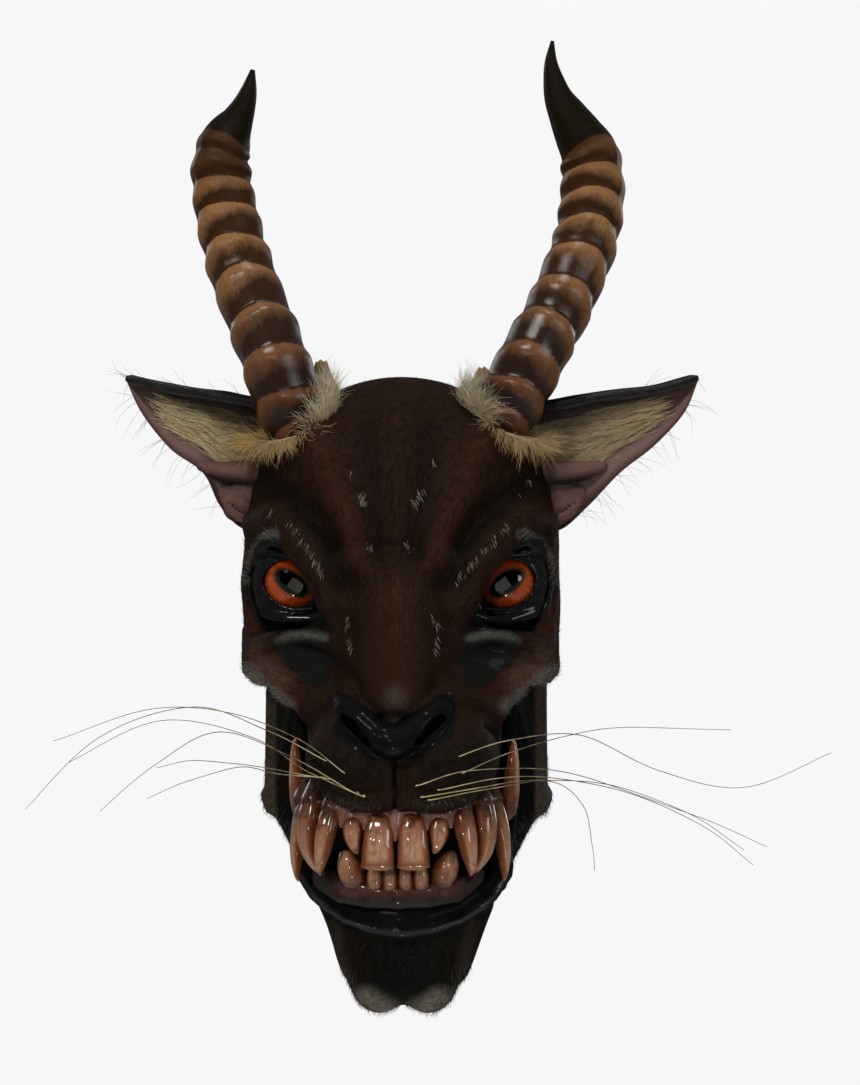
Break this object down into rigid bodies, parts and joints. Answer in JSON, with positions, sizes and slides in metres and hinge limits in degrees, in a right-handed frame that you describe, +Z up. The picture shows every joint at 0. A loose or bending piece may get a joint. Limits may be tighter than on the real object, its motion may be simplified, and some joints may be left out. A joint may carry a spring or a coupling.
{
  "type": "horned beast dance mask",
  "caption": "Hollow carved horned beast face mask with ringed horns, furred ears, slot-pupil eyes, bared fangs, whiskers and a hinged lower jaw.",
  "frame": {"origin": "top centre of the flat back rim, on the wall plane", "axes": "+Z up, -Y the way the face looks, +X to the viewer's right"},
  "size_m": [0.5583, 0.1737, 0.6801],
  "materials": {
    "face": "painted dark brown over short carved fur, satin",
    "jaw": "painted near-black brown, satin, glossy lip",
    "horn": "polished natural horn, amber brown with dark tips",
    "ear": "plum-brown skin with a black edge",
    "fur": "pale goat hair",
    "hide": "bare tan rawhide",
    "lid": "glossy black",
    "iris": "glossy orange resin",
    "gum": "glossy pink-brown resin",
    "tooth": "glossy amber resin",
    "whisker": "pale bristle",
    "steel": "plain steel",
    "wood": "bare wood",
    "leather": "plain leather"
  },
  "bodies": {
    "mask": {"face_shell": "face", "upper_gum": "gum", "upper_incisor_left": "tooth", "upper_incisor_right": "tooth", "upper_lateral_left": "tooth", "upper_lateral_right": "tooth", "inner_fang_left": "tooth", "inner_fang_right": "tooth", "middle_fang_left": "tooth", "middle_fang_right": "tooth", "outer_fang_left": "tooth", "outer_fang_right": "tooth", "horn_left": "horn", "horn_peg_left": "wood", "horn_screw_left": "steel", "horn_fur_left": "fur", "hide_flap_left": "hide", "ear_left": "ear", "ear_fur_left": "fur", "eye_left": "iris", "eyelid_left": "lid", "hinge_bolt_left": "steel", "hinge_washer_left": "leather", "hinge_nut_left": "steel", "whisker_left_1": "whisker", "whisker_left_2": "whisker", "whisker_left_3": "whisker", "whisker_left_4": "whisker", "whisker_left_5": "whisker", "whisker_left_6": "whisker", "horn_right": "horn", "horn_peg_right": "wood", "horn_screw_right": "steel", "horn_fur_right": "fur", "hide_flap_right": "hide", "ear_right": "ear", "ear_fur_right": "fur", "eye_right": "iris", "eyelid_right": "lid", "hinge_bolt_right": "steel", "hinge_washer_right": "leather", "hinge_nut_right": "steel", "whisker_right_1": "whisker", "whisker_right_2": "whisker", "whisker_right_3": "whisker", "whisker_right_4": "whisker", "whisker_right_5": "whisker", "whisker_right_6": "whisker"},
    "jaw": {"jaw_shell": "jaw", "lower_gum": "gum", "mouth_lining": "leather", "lower_inner_incisor_left": "tooth", "lower_inner_incisor_right": "tooth", "lower_outer_incisor_left": "tooth", "lower_outer_incisor_right": "tooth", "lower_canine_left": "tooth", "lower_canine_right": "tooth", "tusk_left": "tooth", "tusk_right": "tooth"}
  },
  "joints": [
    {"name": "jaw_hinge", "type": "hinge", "parent": "mask", "child": "jaw", "pos_m": [0, -0.031, -0.188], "axis": [1, 0, 0], "range_deg": [0, 12]}
  ]
}
